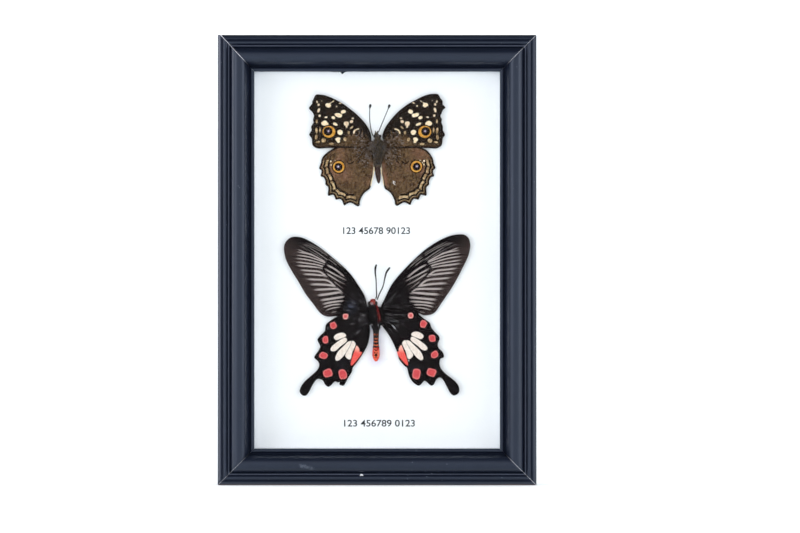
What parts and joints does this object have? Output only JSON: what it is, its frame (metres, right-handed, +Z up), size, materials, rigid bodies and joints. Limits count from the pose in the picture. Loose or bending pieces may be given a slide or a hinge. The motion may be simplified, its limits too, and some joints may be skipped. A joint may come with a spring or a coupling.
{
  "type": "framed butterfly specimen",
  "caption": "Shallow black box frame with a glazed front and a white mount board that carries set butterflies, ready to stand on its base or hang.",
  "frame": {"origin": "centre of the footprint: the middle of the bottom rail's underside", "axes": "+Z up the frame, -Y out of the glass towards the viewer, +X to the viewer's right"},
  "size_m": [0.1244, 0.021, 0.1758],
  "materials": {
    "frame_lacquer": "blue-black lacquer, semi-gloss, over mitred wood moulding",
    "clear_glass": "clear float glass",
    "spacer_card": "matt white card strip",
    "mount_card": "matt white mount board",
    "hardboard": "brown hardboard, unfinished",
    "zinc_steel": "zinc-plated sheet steel",
    "brown_wing": null,
    "black_wing": null,
    "brown_body": null,
    "red_body": null,
    "antenna": null
  },
  "bodies": {
    "root": {"rail_top": "frame_lacquer", "rail_bottom": "frame_lacquer", "rail_left": "frame_lacquer", "rail_right": "frame_lacquer", "glass": "clear_glass", "spacer_top": "spacer_card", "spacer_bottom": "spacer_card", "spacer_left": "spacer_card", "spacer_right": "spacer_card", "mount_board": "mount_card", "back_panel": "hardboard", "point_top": "zinc_steel", "point_bottom": "zinc_steel", "point_left_upper": "zinc_steel", "point_left_lower": "zinc_steel", "point_right_upper": "zinc_steel", "point_right_lower": "zinc_steel", "hanger": "zinc_steel", "rivet_left": "zinc_steel", "rivet_right": "zinc_steel", "upper_butterfly_body": "brown_body", "upper_butterfly_forewing_left": "brown_wing", "upper_butterfly_forewing_right": "brown_wing", "upper_butterfly_hindwing_left": "brown_wing", "upper_butterfly_hindwing_right": "brown_wing", "upper_butterfly_antenna_left": "antenna", "upper_butterfly_antenna_right": "antenna", "lower_butterfly_body": "red_body", "lower_butterfly_forewing_left": "black_wing", "lower_butterfly_forewing_right": "black_wing", "lower_butterfly_hindwing_left": "black_wing", "lower_butterfly_hindwing_right": "black_wing", "lower_butterfly_antenna_left": "antenna", "lower_butterfly_antenna_right": "antenna"}
  },
  "joints": []
}
